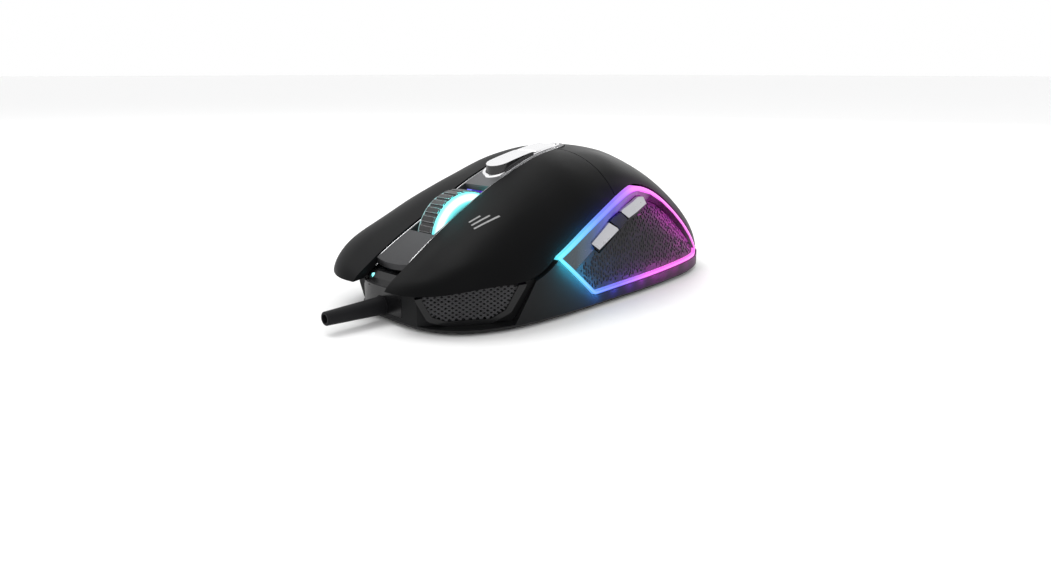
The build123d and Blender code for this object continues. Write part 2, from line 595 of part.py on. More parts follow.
def wheel_tyre():
    """Rubber tyre with round-bottomed ribs across its tread."""
    tyre = rod_x(WHEEL_Y, WHEEL_Z, WHEEL_R, -WHEEL_HALF, WHEEL_HALF)
    tyre = chamfer(tyre.edges(), 0.3) - rod_x(WHEEL_Y, WHEEL_Z, WHEEL_R - 2.0, -8, 8)
    ribs = []
    for k in range(TREAD_RIBS):
        turn = 2 * math.pi * k / TREAD_RIBS
        y, z = WHEEL_Y + WHEEL_R * math.cos(turn), WHEEL_Z + WHEEL_R * math.sin(turn)
        ribs.append(rod_x(y, z, 0.55, -8, 8))
    return tyre - ribs


def wheel_lights():
    """Domed translucent covers on both faces of the wheel."""
    rim = WHEEL_R - 0.35
    inside, outside = (LIGHT_HALF, rim - 5.0), (WHEEL_HALF + 0.35, rim)
    dome_arc = ThreePointArc(inside, (LIGHT_HALF - 0.35, rim - 1.9), outside)
    corners = Polyline(outside, (WHEEL_HALF, rim), (WHEEL_HALF, 2.0), (LIGHT_HALF, 2.0), inside)
    cover = revolve(make_face(dome_arc + corners), Axis.X)
    return Part() + [Pos(0, WHEEL_Y, WHEEL_Z) * half for half in (cover, mirror(cover, Plane.YZ))]


def wheel_axle():
    return rod_x(WHEEL_Y, WHEEL_Z, AXLE_R, -11.6, 8.6)


def wheel_cradle():
    """Tilting carriage: two cheeks that carry the axle, joined in front and behind the wheel."""
    y, z = CRADLE_PIVOT
    cheek = [(y + 1.9, z - 2.2), (y + 1.9, z + 2.2), (29, 21.4), (22, 21.4), (14, 13.4), (6.8, 12.6),
             (6.8, 9.6), (14, 9.6), (24, z - 2.2)]
    cradle = prism_x(cheek, -6.7, -5.3) + prism_x(cheek, 5.3, 6.7)
    cradle = cradle + block(-6, 6, y - 1.9, y + 1.9, z - 2.2, z + 2.2) + block(-6, 6, 6.8, 9.6, 9.6, 12.6)
    cradle = cradle + rod_x(y, z, PIVOT_R, -9.6, 9.6)
    return cradle - rod_x(WHEEL_Y, WHEEL_Z, AXLE_R + RUN_GAP, -8, 8)


def encoder():
    """Rotation encoder beside the wheel, with a tall slot for the axle's end."""
    body = block(-13.0, -9.4, 19.5, 30.5, PCB_TOP, 23.0)
    return body - block(-14, -9, WHEEL_Y - 1.9, WHEEL_Y + 1.9, WHEEL_Z - 2.4, WHEEL_Z + 1.9)


def wheel_switch():
    return block(-3, 3, 5, 11, PCB_TOP, PCB_TOP + 1.6) + rod_z(0, 8.2, 1.5, PCB_TOP + 1, PCB_TOP + 2.1)


# ---------------------------------------------------------------- electronics
def click_switch(side):
    """Snap switch under a primary button, with the hole its plunger runs in."""
    x = PLUNGER_X[side]
    body = block(x - 2.9, x + 2.9, PLUNGER_Y - 9.4, PLUNGER_Y + 3.4, PCB_TOP, PCB_TOP + 6.4)
    return body - rod_z(x, PLUNGER_Y, PLUNGER_R + RUN_GAP, PCB_TOP + 4, PCB_TOP + 8)


def click_plunger(side):
    return rod_z(PLUNGER_X[side], PLUNGER_Y, PLUNGER_R, PCB_TOP + 5, PUSHER_Z - RUN_GAP)


def main_board():
    """Circuit board: a tapered outline with the wheel's bay open at its front."""
    outline = [(-17, -40), (17, -40), (21.6, -26), (21.6, 22), (20.4, 28), (14.6, 37.2), (7.4, 37.2),
               (7.4, 11.6), (-7.4, 11.6), (-7.4, 37.2), (-19.5, 37.2), (-21.6, 30), (-21.6, -26)]
    board = prism_z(outline, PCB_Z, PCB_TOP)
    for x, y in BOARD_SCREWS:
        board -= rod_z(x, y, SCREW_R, 0, 10)
    return board - rod_z(0, SENSOR_Y, 3.0, 0, 10)


def board_screws():
    return Part() + [rod_z(x, y, SCREW_R, 3.3, PCB_TOP + 0.2) + rod_z(x, y, 1.9, PCB_TOP, PCB_TOP + 1.3)
                     for x, y in BOARD_SCREWS]


def shell_screws():
    return Part() + [rod_z(x, SHELL_SCREW_Y, SCREW_R, 2.6, BOSS_TOP + 7)
                     + rod_z(x, SHELL_SCREW_Y, 2.2, 1.9, 3.4) for x in SHELL_SCREW_X]


def optical_sensor():
    return block(-5.5, 5.5, SENSOR_Y - 6, SENSOR_Y + 6, PCB_TOP, PCB_TOP + 3.0)


def sensor_lens():
    """Clear lens between the floor and the board, its dome in the floor's aperture."""
    plate = block(-8, 8, SENSOR_Y - 8, SENSOR_Y + 8, FLOOR_TOP, PCB_Z)
    window = rod_z(0, SENSOR_Y, 2.8, 1.6, FLOOR_TOP + 0.1)
    return plate + rod_z(0, SENSOR_Y, 2.9, PCB_Z - 0.1, PCB_TOP) + window


def controller_chip():
    return block(-4, 4, -27, -19, PCB_TOP, PCB_TOP + 1.0)


def cable_connector():
    return block(-12.8, -8.8, 32.2, 36.8, PCB_TOP, PCB_TOP + 4.2)


def cable_lead():
    """Inner lead from the boot round the wheel post to the board's connector."""
    end = (-11.2, 36.8, PCB_TOP + 2.4)
    path = FilletPolyline((0, 48.0, BOOT_Z), (0, 45.4, BOOT_Z), (-11.6, 45.4, BOOT_Z), (-11.2, 40, 8.8), end,
                          radius=1.3)
    return sweep(Plane(origin=path @ 0, z_dir=path % 0) * Circle(LEAD_R), path=path)


def cable_boot():
    """Strain relief: flange behind the nose wall, a tapered sleeve and the cable's bore."""
    flange = rod_between((0, 48.0, BOOT_Z), (0, 48.4, BOOT_Z), 3.3) & block(-4, 4, 47, 49, 2.75, 9)
    collar = rod_between((0, 48.0, BOOT_Z), (0, 52.6, BOOT_Z), 2.7)
    cone = Plane(origin=(0, 52.6, BOOT_Z), z_dir=(0, 1, 0)) * Cone(
        2.45, BOOT_TIP_R, BOOT_TIP_Y - 52.6, align=(Align.CENTER, Align.CENTER, Align.MIN))
    tip = fillet(cone.edges().sort_by(Axis.Y)[-1], 0.35)
    boot = flange + collar + tip
    return boot - rod_between((0, BOOT_TIP_Y - BORE_LENGTH, BOOT_Z), (0, BOOT_TIP_Y + 1, BOOT_Z), CABLE_R)


# ---------------------------------------------------------------- glide feet
def front_glides():
    pads = Part()
    for side in (-1, 1):
        pad = extrude(SlotOverall(15, 5.5), amount=DESK_GAP)
        pads += Pos(side * 12.5, 42, 0) * Rot(0, 0, -side * 25) * pad
    return pads


def rear_glide():
    return Pos(0, -56, 0) * extrude(SlotOverall(36, 6.5), amount=DESK_GAP)


# ---------------------------------------------------------------- write the parts
nodes = {
    "base_shell": base_shell, "left_button": lambda: primary_button(-1),
    "right_button": lambda: primary_button(1), "palm_shell": palm_shell, "spine": spine,
    "hinge_rod": hinge_rod, "dpi_bezel": dpi_bezel,
    "dpi_up_button": lambda: dpi_key(-0.4, 16, DPI_STEMS_Y[0]),
    "dpi_down_button": lambda: dpi_key(-16, -0.8, DPI_STEMS_Y[1]),
    "dpi_board": dpi_board, "dpi_switches": dpi_switches, "front_fascia": front_fascia,
    "nose_light": nose_light, "forward_button": forward_button, "back_button": back_button,
    "key_trim": key_trim, "side_switches": side_switches, "wheel_hub": wheel_hub,
    "wheel_tyre": wheel_tyre, "wheel_lights": wheel_lights, "wheel_axle": wheel_axle,
    "wheel_cradle": wheel_cradle, "encoder": encoder, "wheel_switch": wheel_switch,
    "main_board": main_board, "board_screws": board_screws, "shell_screws": shell_screws,
    "optical_sensor": optical_sensor, "sensor_lens": sensor_lens, "controller_chip": controller_chip,
    "cable_connector": cable_connector, "cable_lead": cable_lead, "cable_boot": cable_boot,
    "front_glides": front_glides, "rear_glide": rear_glide,
}
for word, side in (("left", -1), ("right", 1)):
    for name, make in (("light_guide", light_guide), ("ledge", ledge), ("grip", grip),
                       ("side_frame", side_frame), ("side_board", side_board), ("side_leds", side_leds),
                       ("grille_frame", grille_frame), ("grille", grille), ("switch", click_switch),
                       ("plunger", click_plunger)):
        nodes[f"{word}_{name}"] = lambda make=make, side=side: make(side)

os.makedirs("parts", exist_ok=True)
for name, make in nodes.items():
    export_step(make(), f"parts/{name}.step")
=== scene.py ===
"""Looks for the wired gaming mouse: materials, fine detail, studio and camera, in metres."""

import json
import math
import random

import bpy
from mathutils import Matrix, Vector
from mathutils.bvhtree import BVHTree


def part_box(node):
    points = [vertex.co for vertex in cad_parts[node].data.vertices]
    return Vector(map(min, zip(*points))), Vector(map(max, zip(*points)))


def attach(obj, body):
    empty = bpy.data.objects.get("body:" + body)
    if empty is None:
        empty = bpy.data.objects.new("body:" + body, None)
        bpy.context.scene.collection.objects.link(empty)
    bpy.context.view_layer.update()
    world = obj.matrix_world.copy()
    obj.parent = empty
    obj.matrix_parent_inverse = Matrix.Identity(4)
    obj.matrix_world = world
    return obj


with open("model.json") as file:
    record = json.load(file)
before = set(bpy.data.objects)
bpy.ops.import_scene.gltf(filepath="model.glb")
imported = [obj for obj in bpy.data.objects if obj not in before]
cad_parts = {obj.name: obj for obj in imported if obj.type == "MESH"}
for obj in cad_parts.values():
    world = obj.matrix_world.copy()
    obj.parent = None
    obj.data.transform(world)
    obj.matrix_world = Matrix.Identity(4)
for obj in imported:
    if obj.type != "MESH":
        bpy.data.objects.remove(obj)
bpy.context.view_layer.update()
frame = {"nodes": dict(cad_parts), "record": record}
nodes = frame["nodes"]
MM = 0.001

# ---------------------------------------------------------------- colours, linear
NEAR_BLACK = (0.0020, 0.0021, 0.0023)
# Painted light: the right button's black is made lighter to stand in for the light falling on it; same
# soft-touch coating as the shell.
RIGHT_BUTTON_PAINTED_LIGHTER = (0.0050, 0.0051, 0.0055)
SKIRT_GREY = (0.0075, 0.0078, 0.0083)
RUBBER_GREY = (0.016, 0.016, 0.0175)
BRIGHT = (0.90, 0.90, 0.91)
KEY_SILVER = (0.44, 0.44, 0.46)
KEY_PAINTED_SHADE = (0.055, 0.055, 0.060)
BOARD_GREEN = (0.006, 0.045, 0.020)
CYAN = (0.01, 0.72, 0.72)
DEEP_CYAN = (0.0, 0.30, 0.33)
WHITE = (1.0, 1.0, 1.0)
# Ring colours by place along the body, in millimetres from the middle, tail to nose.
RING_COLOURS = [(-54, (1.0, 0.06, 0.80)), (-34, (1.0, 0.05, 0.82)), (-21, (0.95, 0.06, 1.0)),
                (-13, (0.42, 0.07, 1.0)), (-6, (0.12, 0.06, 1.0)), (2, (0.03, 0.16, 1.0)),
                (11, (0.03, 0.55, 1.0)), (20, (0.03, 0.80, 1.0))]
# The console's greys by place, dark at the nose.
CONSOLE_GREYS = [(-15, (0.10, 0.10, 0.105)), (12, (0.10, 0.10, 0.105)), (20, (0.075, 0.075, 0.078)),
                 (37, (0.030, 0.030, 0.032)), (50, (0.014, 0.014, 0.015))]
# Painted light: how strongly the ring's light falling on the ledge inside the ring is painted in as glow,
# by the same places.
LEDGE_PAINTED_GLOW = [(-54, 0.02), (-34, 0.03), (-27, 0.10), (-20, 0.28), (-10, 0.45), (-2, 0.45), (5, 0.14),
              (12, 0.03)]


# ---------------------------------------------------------------- shader helpers
class Shader:
    """A node tree under construction, with short calls for the nodes used here."""

    def __init__(self, name, base, roughness, metallic=0.0, specular=0.5):
        self.material = bpy.data.materials.new(name)
        self.material.use_nodes = True
        self.tree = self.material.node_tree
        self.surface = self.tree.nodes["Principled BSDF"]
        self.set(self.surface, "Base Color", (*base, 1))
        self.set(self.surface, "Roughness", roughness)
        self.set(self.surface, "Metallic", metallic)
        self.set(self.surface, "Specular IOR Level", specular)
        self.place = self.new("ShaderNodeTexCoord").outputs["Object"]

    def new(self, kind, **values):
        node = self.tree.nodes.new(kind)
        for key, value in values.items():
            setattr(node, key, value)
        return node

    def set(self, node, socket, value):
        """Gives an input a value, or links it to another node's output."""
        if isinstance(value, bpy.types.NodeSocket):
            self.tree.links.new(value, node.inputs[socket])
        else:
            node.inputs[socket].default_value = value

    def scaled(self, scale):
        """The place on the mouse, scaled for a pattern."""
        mapping = self.new("ShaderNodeMapping")
        self.set(mapping, "Vector", self.place)
        self.set(mapping, "Scale", tuple(scale))
        return mapping.outputs[0]

    def noise(self, size_mm, detail=4.0, stretch=(1, 1, 1)):
        """Noise with features of about size_mm."""
        noise = self.new("ShaderNodeTexNoise")
        self.set(noise, "Vector", self.scaled(s / (size_mm * MM) for s in stretch))
        self.set(noise, "Scale", 1.0)
        self.set(noise, "Detail", detail)
        return noise.outputs["Fac"]

    def blotches(self, size_mm, detail):
        """Noise stretched to run from 0 to 1."""
        return self.ramp(self.noise(size_mm, detail), 0, 1, 0.3, 0.7)

    def cells(self, size_mm):
        """Distance to the nearest of scattered points, about size_mm apart."""
        cells = self.new("ShaderNodeTexVoronoi")
        self.set(cells, "Vector", self.scaled([1 / (size_mm * MM)] * 3))
        self.set(cells, "Scale", 1.0)
        return cells.outputs["Distance"]

    def ramp(self, factor, low, high, start=0.0, end=1.0):
        """A value that goes from low to high as factor goes from start to end."""
        node = self.new("ShaderNodeMapRange")
        self.set(node, "Value", factor)
        for socket, value in (("From Min", start), ("From Max", end), ("To Min", low), ("To Max", high)):
            self.set(node, socket, value)
        return node.outputs[0]

    def colours(self, factor, stops):
        """Colours along a factor; stops are (factor, colour)."""
        node = self.new("ShaderNodeValToRGB")
        self.set(node, "Fac", factor)
        ramp = node.color_ramp
        while len(ramp.elements) < len(stops):
            ramp.elements.new(0.5)
        for element, (position, colour) in zip(ramp.elements, stops):
            element.position = position
            element.color = (*colour, 1)
        return node.outputs["Color"]

    def by_place(self, axis, stops):
        """Colours or strengths that change along one axis; stops are (millimetres, value)."""
        low, high = stops[0][0], stops[-1][0]
        values = [((at - low) / (high - low), v if isinstance(v, tuple) else (v, v, v)) for at, v in stops]
        return self.colours(self.ramp(self.axis_mm(axis), 0, 1, low, high), values)

    def mix(self, factor, a, b):
        node = self.new("ShaderNodeMix", data_type="RGBA")
        self.set(node, 0, factor)
        self.set(node, 6, a if isinstance(a, bpy.types.NodeSocket) else (*a, 1))
        self.set(node, 7, b if isinstance(b, bpy.types.NodeSocket) else (*b, 1))
        return node.outputs[2]

    def math(self, operation, a, b=0.0):
        node = self.new("ShaderNodeMath", operation=operation)
        self.set(node, 0, a)
        self.set(node, 1, b)
        return node.outputs[0]

    def bump(self, height, depth_mm, strength):
        node = self.new("ShaderNodeBump")
        self.set(node, "Height", height)
        self.set(node, "Distance", depth_mm * MM)
        self.set(node, "Strength", strength)
        self.set(self.surface, "Normal", node.outputs[0])

    def axis_mm(self, axis):
        """The place along one axis, in millimetres."""
        split = self.new("ShaderNodeSeparateXYZ")
        self.set(split, 0, self.place)
        return self.math("MULTIPLY", split.outputs[axis], 1 / MM)

    def edges(self, width_mm, samples=4):
        """1 on edges, 0 further from them than width_mm; more samples make it less grainy."""
        bevel = self.new("ShaderNodeBevel", samples=samples)
        self.set(bevel, "Radius", width_mm * MM)
        geometry = self.new("ShaderNodeNewGeometry")
        dot = self.new("ShaderNodeVectorMath", operation="DOT_PRODUCT")
        self.set(dot, 0, bevel.outputs[0])
        self.set(dot, 1, geometry.outputs["Normal"])
        return self.ramp(dot.outputs["Value"], 1.0, 0.0, 0.80, 0.995)

    def painted_edge_highlight(self, base, highlight_colour, width_mm=0.35, share=0.6):
        """Painted highlight: lightens the colour along edges."""
        return self.mix(self.math("MULTIPLY", self.edges(width_mm), share), base, highlight_colour)

    def upward(self, low, high):
        """0 where a face's normal points up less than low, 1 where it does more than high."""
        split = self.new("ShaderNodeSeparateXYZ")
        self.set(split, 0, self.new("ShaderNodeNewGeometry").outputs["True Normal"])
        return self.ramp(split.outputs["Z"], 0, 1, low, high)

    def glow(self, colour, strength):
        self.set(self.surface, "Emission Color", colour)
        self.set(self.surface, "Emission Strength", strength)


def times(colour, factor):
    return tuple(c * factor for c in colour)


# ---------------------------------------------------------------- materials
def soft_touch(name, base):
    """Near-black soft-touch coating: fine grain, faint cloudiness in the sheen."""
    s = Shader(name, base, 0.5, specular=0.055)
    cloud = s.blotches(16, 3)
    s.set(s.surface, "Base Color", s.mix(cloud, base, times(base, 1.25)))
    s.set(s.surface, "Roughness", s.ramp(cloud, 0.40, 0.47))
    s.bump(s.noise(0.12, 2), 0.012, 0.6)
    return s.material


def satin_plastic(name, base, roughness=0.42, grain_mm=0.18, specular=0.12):
    """Spark-eroded satin moulding with a slight painted highlight along its edges."""
    s = Shader(name, base, roughness, specular=specular)
    # Painted highlight: edges get a lighter colour.
    s.set(s.surface, "Base Color", s.painted_edge_highlight(base, times(base, 2.2)))
    s.set(s.surface, "Roughness", s.ramp(s.noise(9, 3), roughness - 0.05, roughness + 0.06, 0.3, 0.7))
    s.bump(s.noise(grain_mm, 3), 0.02, 0.7)
    return s.material


def gloss_black(name):
    """Polished black trim with faint wipe marks."""
    s = Shader(name, (0.005, 0.005, 0.0055), 0.2, specular=0.3)
    s.set(s.surface, "Roughness", s.ramp(s.noise(5, 4), 0.16, 0.28, 0.3, 0.7))
    s.bump(s.noise(3.0, 2), 0.01, 0.3)
    return s.material


def console_metal(name):
    """Gunmetal lacquer with a fine flake, lightest by the resolution keys."""
    s = Shader(name, (0.2, 0.2, 0.2), 0.34, metallic=0.8)
    flake = s.cells(0.09)
    tone = s.by_place("Y", CONSOLE_GREYS)
    s.set(s.surface, "Base Color", s.mix(s.ramp(flake, 0.0, 0.15, 0.0, 0.8), tone, (0.2, 0.2, 0.21)))
    s.set(s.surface, "Roughness", s.ramp(s.noise(6, 3), 0.30, 0.40, 0.3, 0.7))
    s.bump(flake, 0.006, 0.4)
    return s.material


def bright_metal(name, base=BRIGHT, roughness=0.12):
    """Plated trim: smooth, with hairline handling marks in the roughness."""
    s = Shader(name, base, roughness, metallic=1.0)
    hair = s.noise(0.5, 6, stretch=(1, 0.08, 1))
    s.set(s.surface, "Roughness", s.ramp(hair, roughness * 0.8, roughness * 1.9, 0.4, 0.75))
    s.bump(hair, 0.004, 0.25)
    return s.material


def plated_key(name):
    """Resolution key: plated on top, black moulding on its sides."""
    s = Shader(name, BRIGHT, 0.14, metallic=1.0)
    top = s.upward(0.30, 0.42)
    s.set(s.surface, "Base Color", s.mix(top, (0.012, 0.012, 0.013), BRIGHT))
    s.set(s.surface, "Metallic", top)
    s.set(s.surface, "Roughness", s.ramp(s.noise(1.2, 5), 0.10, 0.22, 0.3, 0.7))
    s.bump(s.noise(2.5, 2), 0.008, 0.3)
    return s.material


def key_paint(name):
    """Silver metallic paint of the thumb keys, with painted shade on the faces below their crest."""
    s = Shader(name, KEY_SILVER, 0.30, metallic=0.45)
    flake = s.cells(0.08)
    silver = s.mix(s.ramp(flake, 0, 0.4, 0, 0.8), KEY_SILVER, (0.6, 0.6, 0.63))
    # Painted shade: faces that turn downward get the dark colour instead of silver.
    s.set(s.surface, "Base Color", s.mix(s.upward(-0.15, 0.2), KEY_PAINTED_SHADE, silver))
    s.set(s.surface, "Roughness", s.ramp(s.noise(3, 3), 0.26, 0.36, 0.3, 0.7))
    s.bump(flake, 0.005, 0.3)
    return s.material


def grip_rubber(name):
    """Matt moulded rubber: a fine grain, and a slow change of tone."""
    s = Shader(name, RUBBER_GREY, 0.6, specular=0.2)
    tone = s.ramp(s.noise(5, 4, stretch=(1, 1, 0.5)), 0, 1, 0.3, 0.7)
    s.set(s.surface, "Base Color", s.mix(tone, times(RUBBER_GREY, 0.7), times(RUBBER_GREY, 1.3)))
    s.set(s.surface, "Roughness", s.ramp(tone, 0.5, 0.66))
    s.bump(s.noise(0.12, 3), 0.03, 0.7)
    return s.material


def tyre_rubber(name):
    """Black tyre with a painted silvery-grey highlight along its rib edges."""
    s = Shader(name, (0.012, 0.012, 0.013), 0.35, specular=0.5)
    # Painted highlight: rib edges get a silvery grey colour.
    s.set(s.surface, "Base Color", s.painted_edge_highlight((0.010, 0.010, 0.011), (0.55, 0.55, 0.56), 0.28, 0.8))
    s.set(s.surface, "Roughness", s.ramp(s.noise(0.8, 4), 0.28, 0.42, 0.3, 0.7))
    s.bump(s.noise(0.15, 3), 0.015, 0.6)
    return s.material


def ring_light(name):
    """Lit translucent ring: pale along its middle, deep colour at its rims."""
    s = Shader(name, (0.5, 0.5, 0.6), 0.3)
    tint = s.by_place("Y", RING_COLOURS)
    rim = s.edges(0.55, samples=8)
    s.set(s.surface, "Base Color", s.mix(0.9, tint, (0, 0, 0)))
    s.glow(s.mix(rim, s.mix(0.16, tint, WHITE), tint), s.ramp(s.noise(9, 2), 0.95, 1.15, 0.3, 0.7))
    s.bump(s.noise(0.4, 2), 0.01, 0.3)
    return s.material


def ledge_painted_light(name):
    """Smoked band with painted light: the ring's light falling on it is painted in as glow."""
    s = Shader(name, (0.01, 0.01, 0.012), 0.28)
    tint = s.by_place("Y", RING_COLOURS)
    # Painted light: glow in the ring's colours stands in for the ring's light on the ledge.
    s.glow(tint, s.by_place("Y", LEDGE_PAINTED_GLOW))
    s.set(s.surface, "Roughness", s.ramp(s.noise(2, 3), 0.22, 0.34, 0.3, 0.7))
    s.bump(s.noise(0.5, 2), 0.01, 0.3)
    return s.material


def wheel_light(name):
    """Domed cover lit from behind: a white band near its rim between cyan ones, dim on the right."""
    s = Shader(name, (0.3, 0.5, 0.5), 0.25)
    low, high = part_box("wheel_tyre")
    middle, reach = (Vector(low) + Vector(high)) / 2, (high[2] - low[2]) / 2
    away = s.new("ShaderNodeVectorMath", operation="DISTANCE")
    flat = s.new("ShaderNodeCombineXYZ")
    split = s.new("ShaderNodeSeparateXYZ")
    s.set(split, 0, s.place)
    s.set(flat, "Y", split.outputs["Y"])
    s.set(flat, "Z", split.outputs["Z"])
    s.set(away, 0, flat.outputs[0])
    s.set(away, 1, (0, middle.y, middle.z))
    share = s.ramp(away.outputs["Value"], 0, 1, reach * 0.6, reach)
    bands = [(0.0, DEEP_CYAN), (0.28, DEEP_CYAN), (0.46, CYAN), (0.60, WHITE), (0.78, WHITE), (0.90, CYAN)]
    s.glow(s.colours(share, bands), s.ramp(s.axis_mm("X"), 1.0, 0.06, -1, 1))
    s.bump(s.noise(0.6, 2), 0.01, 0.3)
    return s.material


def small_light(name, colour):
    """Tiny lamp, a little paler in patches."""
    s = Shader(name, (0.2, 0.4, 0.4), 0.25)
    s.glow(s.mix(s.ramp(s.noise(0.8, 2), 0, 0.4, 0.3, 0.7), colour, WHITE), 1.6)
    return s.material


def printed_mark(name):
    """Pale grey printed ink, slightly uneven."""
    s = Shader(name, (0.30, 0.30, 0.30), 0.4)
    s.set(s.surface, "Base Color", s.mix(s.blotches(0.6, 4), (0.16, 0.16, 0.16), (0.30, 0.30, 0.30)))
    s.bump(s.noise(0.2, 2), 0.01, 0.4)
    return s.material


def moulded(name, base, roughness=0.5):
    """Plain inner moulding with flow marks and a fine grain."""
    s = Shader(name, base, roughness)
    s.set(s.surface, "Base Color", s.mix(s.ramp(s.noise(6, 3), 0, 0.5, 0.3, 0.7), base, times(base, 0.7)))
    s.bump(s.noise(0.25, 3), 0.02, 0.5)
    return s.material


def circuit_board(name):
    """Green solder mask, lighter over its traces."""
    s = Shader(name, BOARD_GREEN, 0.3)
    traces = s.new("ShaderNodeTexBrick")
    s.set(traces, "Vector", s.scaled((420, 420, 420)))
    s.set(traces, "Mortar Size", 0.03)
    s.set(s.surface, "Base Color", s.mix(traces.outputs["Fac"], BOARD_GREEN, (0.02, 0.11, 0.045)))
    s.bump(traces.outputs["Fac"], 0.03, 0.6)
    return s.material


def clear_plastic(name):
    """Clear moulded lens with faint smears."""
    s = Shader(name, (0.9, 0.93, 0.95), 0.08)
    s.set(s.surface, "Transmission Weight", 0.9)
    s.set(s.surface, "Roughness", s.ramp(s.noise(1.5, 3), 0.05, 0.15, 0.3, 0.7))
    return s.material


MATERIALS = {
    "shell": soft_touch("shell_soft_touch", NEAR_BLACK),
    # lighter copy of the shell's soft touch: painted light on the right button
    "shell_light": soft_touch("right_button_soft_touch_painted_lighter", RIGHT_BUTTON_PAINTED_LIGHTER),
    "base": satin_plastic("skirt_satin", SKIRT_GREY),
    "gloss": gloss_black("gloss_black"),
    "bright": bright_metal("bright_trim"),
    "silver": key_paint("key_silver"),
    "ring_light": ring_light("ring_light"),
    "wheel_light": wheel_light("wheel_light"),
    "nose_light": small_light("nose_light", CYAN),
    "rubber": grip_rubber("grip_rubber"),
    "tyre": tyre_rubber("wheel_rubber"),
    "grille": satin_plastic("grille_satin", (0.006, 0.006, 0.007), 0.45, 0.12),
    "inner_plastic": moulded("inner_moulding", (0.012, 0.012, 0.013)),
    "steel": bright_metal("bright_steel", (0.58, 0.58, 0.6), 0.28),
    "board": circuit_board("solder_mask"),
    "chip": moulded("chip_resin", (0.012, 0.012, 0.013), 0.6),
    "switch_body": moulded("switch_resin", (0.02, 0.02, 0.022)),
    "plunger": moulded("plunger_resin", (0.6, 0.5, 0.3), 0.4),
    "led": moulded("led_body", (0.8, 0.8, 0.72), 0.35),
    "lens": clear_plastic("lens_clear"),
    "connector": moulded("connector_resin", (0.7, 0.68, 0.62), 0.4),
    "cable": satin_plastic("boot_rubber", (0.008, 0.008, 0.009), 0.5, 0.15),
    "glide": moulded("glide_ptfe", (0.06, 0.06, 0.062), 0.32),
}
SPECIAL = {
    "spine": console_metal("console_metal"),
    "dpi_up_button": plated_key("plated_key"),
    "dpi_down_button": plated_key("plated_key_rear"),
    "left_ledge": ledge_painted_light("left_ledge_painted_glow"),
    "right_ledge": ledge_painted_light("right_ledge_painted_glow"),
}
for part in frame["record"]["subparts"]:
    mesh = nodes[part["node"]].data
    mesh.materials.clear()
    mesh.materials.append(SPECIAL.get(part["node"]) or MATERIALS[part["material_slot"]])


# ---------------------------------------------------------------- pieces laid on the CAD surfaces
surfaces = {}
CLEAR_OF = 0.06  # metres from the middle, outside every surface


def surface(node):
    """Search tree of a node's surface."""
    if node not in surfaces:
        mesh = nodes[node].data
        places, polygons = [v.co for v in mesh.vertices], [p.vertices for p in mesh.polygons]
        surfaces[node] = BVHTree.FromPolygons(places, polygons)
    return surfaces[node]


def land(node, start, direction):
    """Where a line first meets a node: the point and the outward normal, or None twice."""
    direction = Vector(direction).normalized()
    point, normal, _, _ = surface(node).ray_cast(Vector(start), direction)
    if point is None:
        return None, None
    return point, normal if normal.dot(direction) < 0 else -normal


def add_piece(name, verts, faces, material, body, smooth=True):
    """Makes a mesh piece with one material that rides on a body."""
    mesh = bpy.data.meshes.new(name)
    mesh.from_pydata([tuple(v) for v in verts], [], faces)
    mesh.validate()
    mesh.materials.append(material)
    for polygon in mesh.polygons:
        polygon.use_smooth = smooth
    obj = bpy.data.objects.new(name, mesh)
    bpy.context.collection.objects.link(obj)
    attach(obj, body)


def strip(verts, faces, points, normals, width, height):
    """Adds a low ribbon along points: its edges sunk in the surface, its flat top raised."""
    start = len(verts)
    last = len(points) - 1
    for i, (point, normal) in enumerate(zip(points, normals)):
        along = (points[min(i + 1, last)] - points[max(i - 1, 0)]).normalized()
        across = normal.cross(along).normalized() * width / 2
        sink = normal * height * 0.5
        top = normal * height
        verts += [point - across - sink, point - across * 0.7 + top]
        verts += [point + across * 0.7 + top, point + across - sink]
    for i in range(last):
        a, b = start + 4 * i, start + 4 * i + 4
        faces += [(a + k, b + k, b + (k + 1) % 4, a + (k + 1) % 4) for k in range(4)]
    end = start + 4 * last
    faces += [(start + 3, start + 2, start + 1, start), (end, end + 1, end + 2, end + 3)]


def grip_texture(side, word):
    """Rows of upright grains moulded on the grip, staggered and uneven."""
    node = f"{word}_grip"
    low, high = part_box(node)
    draw = random.Random(7)
    pitch_y, pitch_z = 1.05 * MM, 1.55 * MM
    verts, faces = [], []
    outside = side * CLEAR_OF
    columns = int((high[1] - low[1]) / pitch_y)
    for i in range(columns):
        for j in range(int((high[2] - low[2]) / pitch_z) + 1):
            y = low[1] + (i + 0.5 + draw.uniform(-0.22, 0.22)) * pitch_y
            z = low[2] + (j + 0.5 * (i % 2) + draw.uniform(-0.2, 0.2)) * pitch_z
            tall, wide = draw.uniform(0.8, 1.75) * MM, draw.uniform(0.42, 0.68) * MM
            lean = draw.uniform(-0.16, 0.16)
            spots = [(y + lean * t * tall, z + t * tall) for t in (-0.62, -0.5, 0, 0.5, 0.62)]
            hits = [land(node, (outside, a, b), (-side, 0, 0)) for a, b in spots]
            if any(point is None or abs(normal.x) < 0.5 for point, normal in hits):
                continue
            if any(land(node, (outside, y + k * 0.7 * MM, z), (-side, 0, 0))[0] is None for k in (-1, 1)):
                continue
            grain(verts, faces, [point for point, _ in hits[1:4]], hits[2][1], wide)
    add_piece(f"{word}_grip_grain", verts, faces, MATERIALS["rubber"], "base")


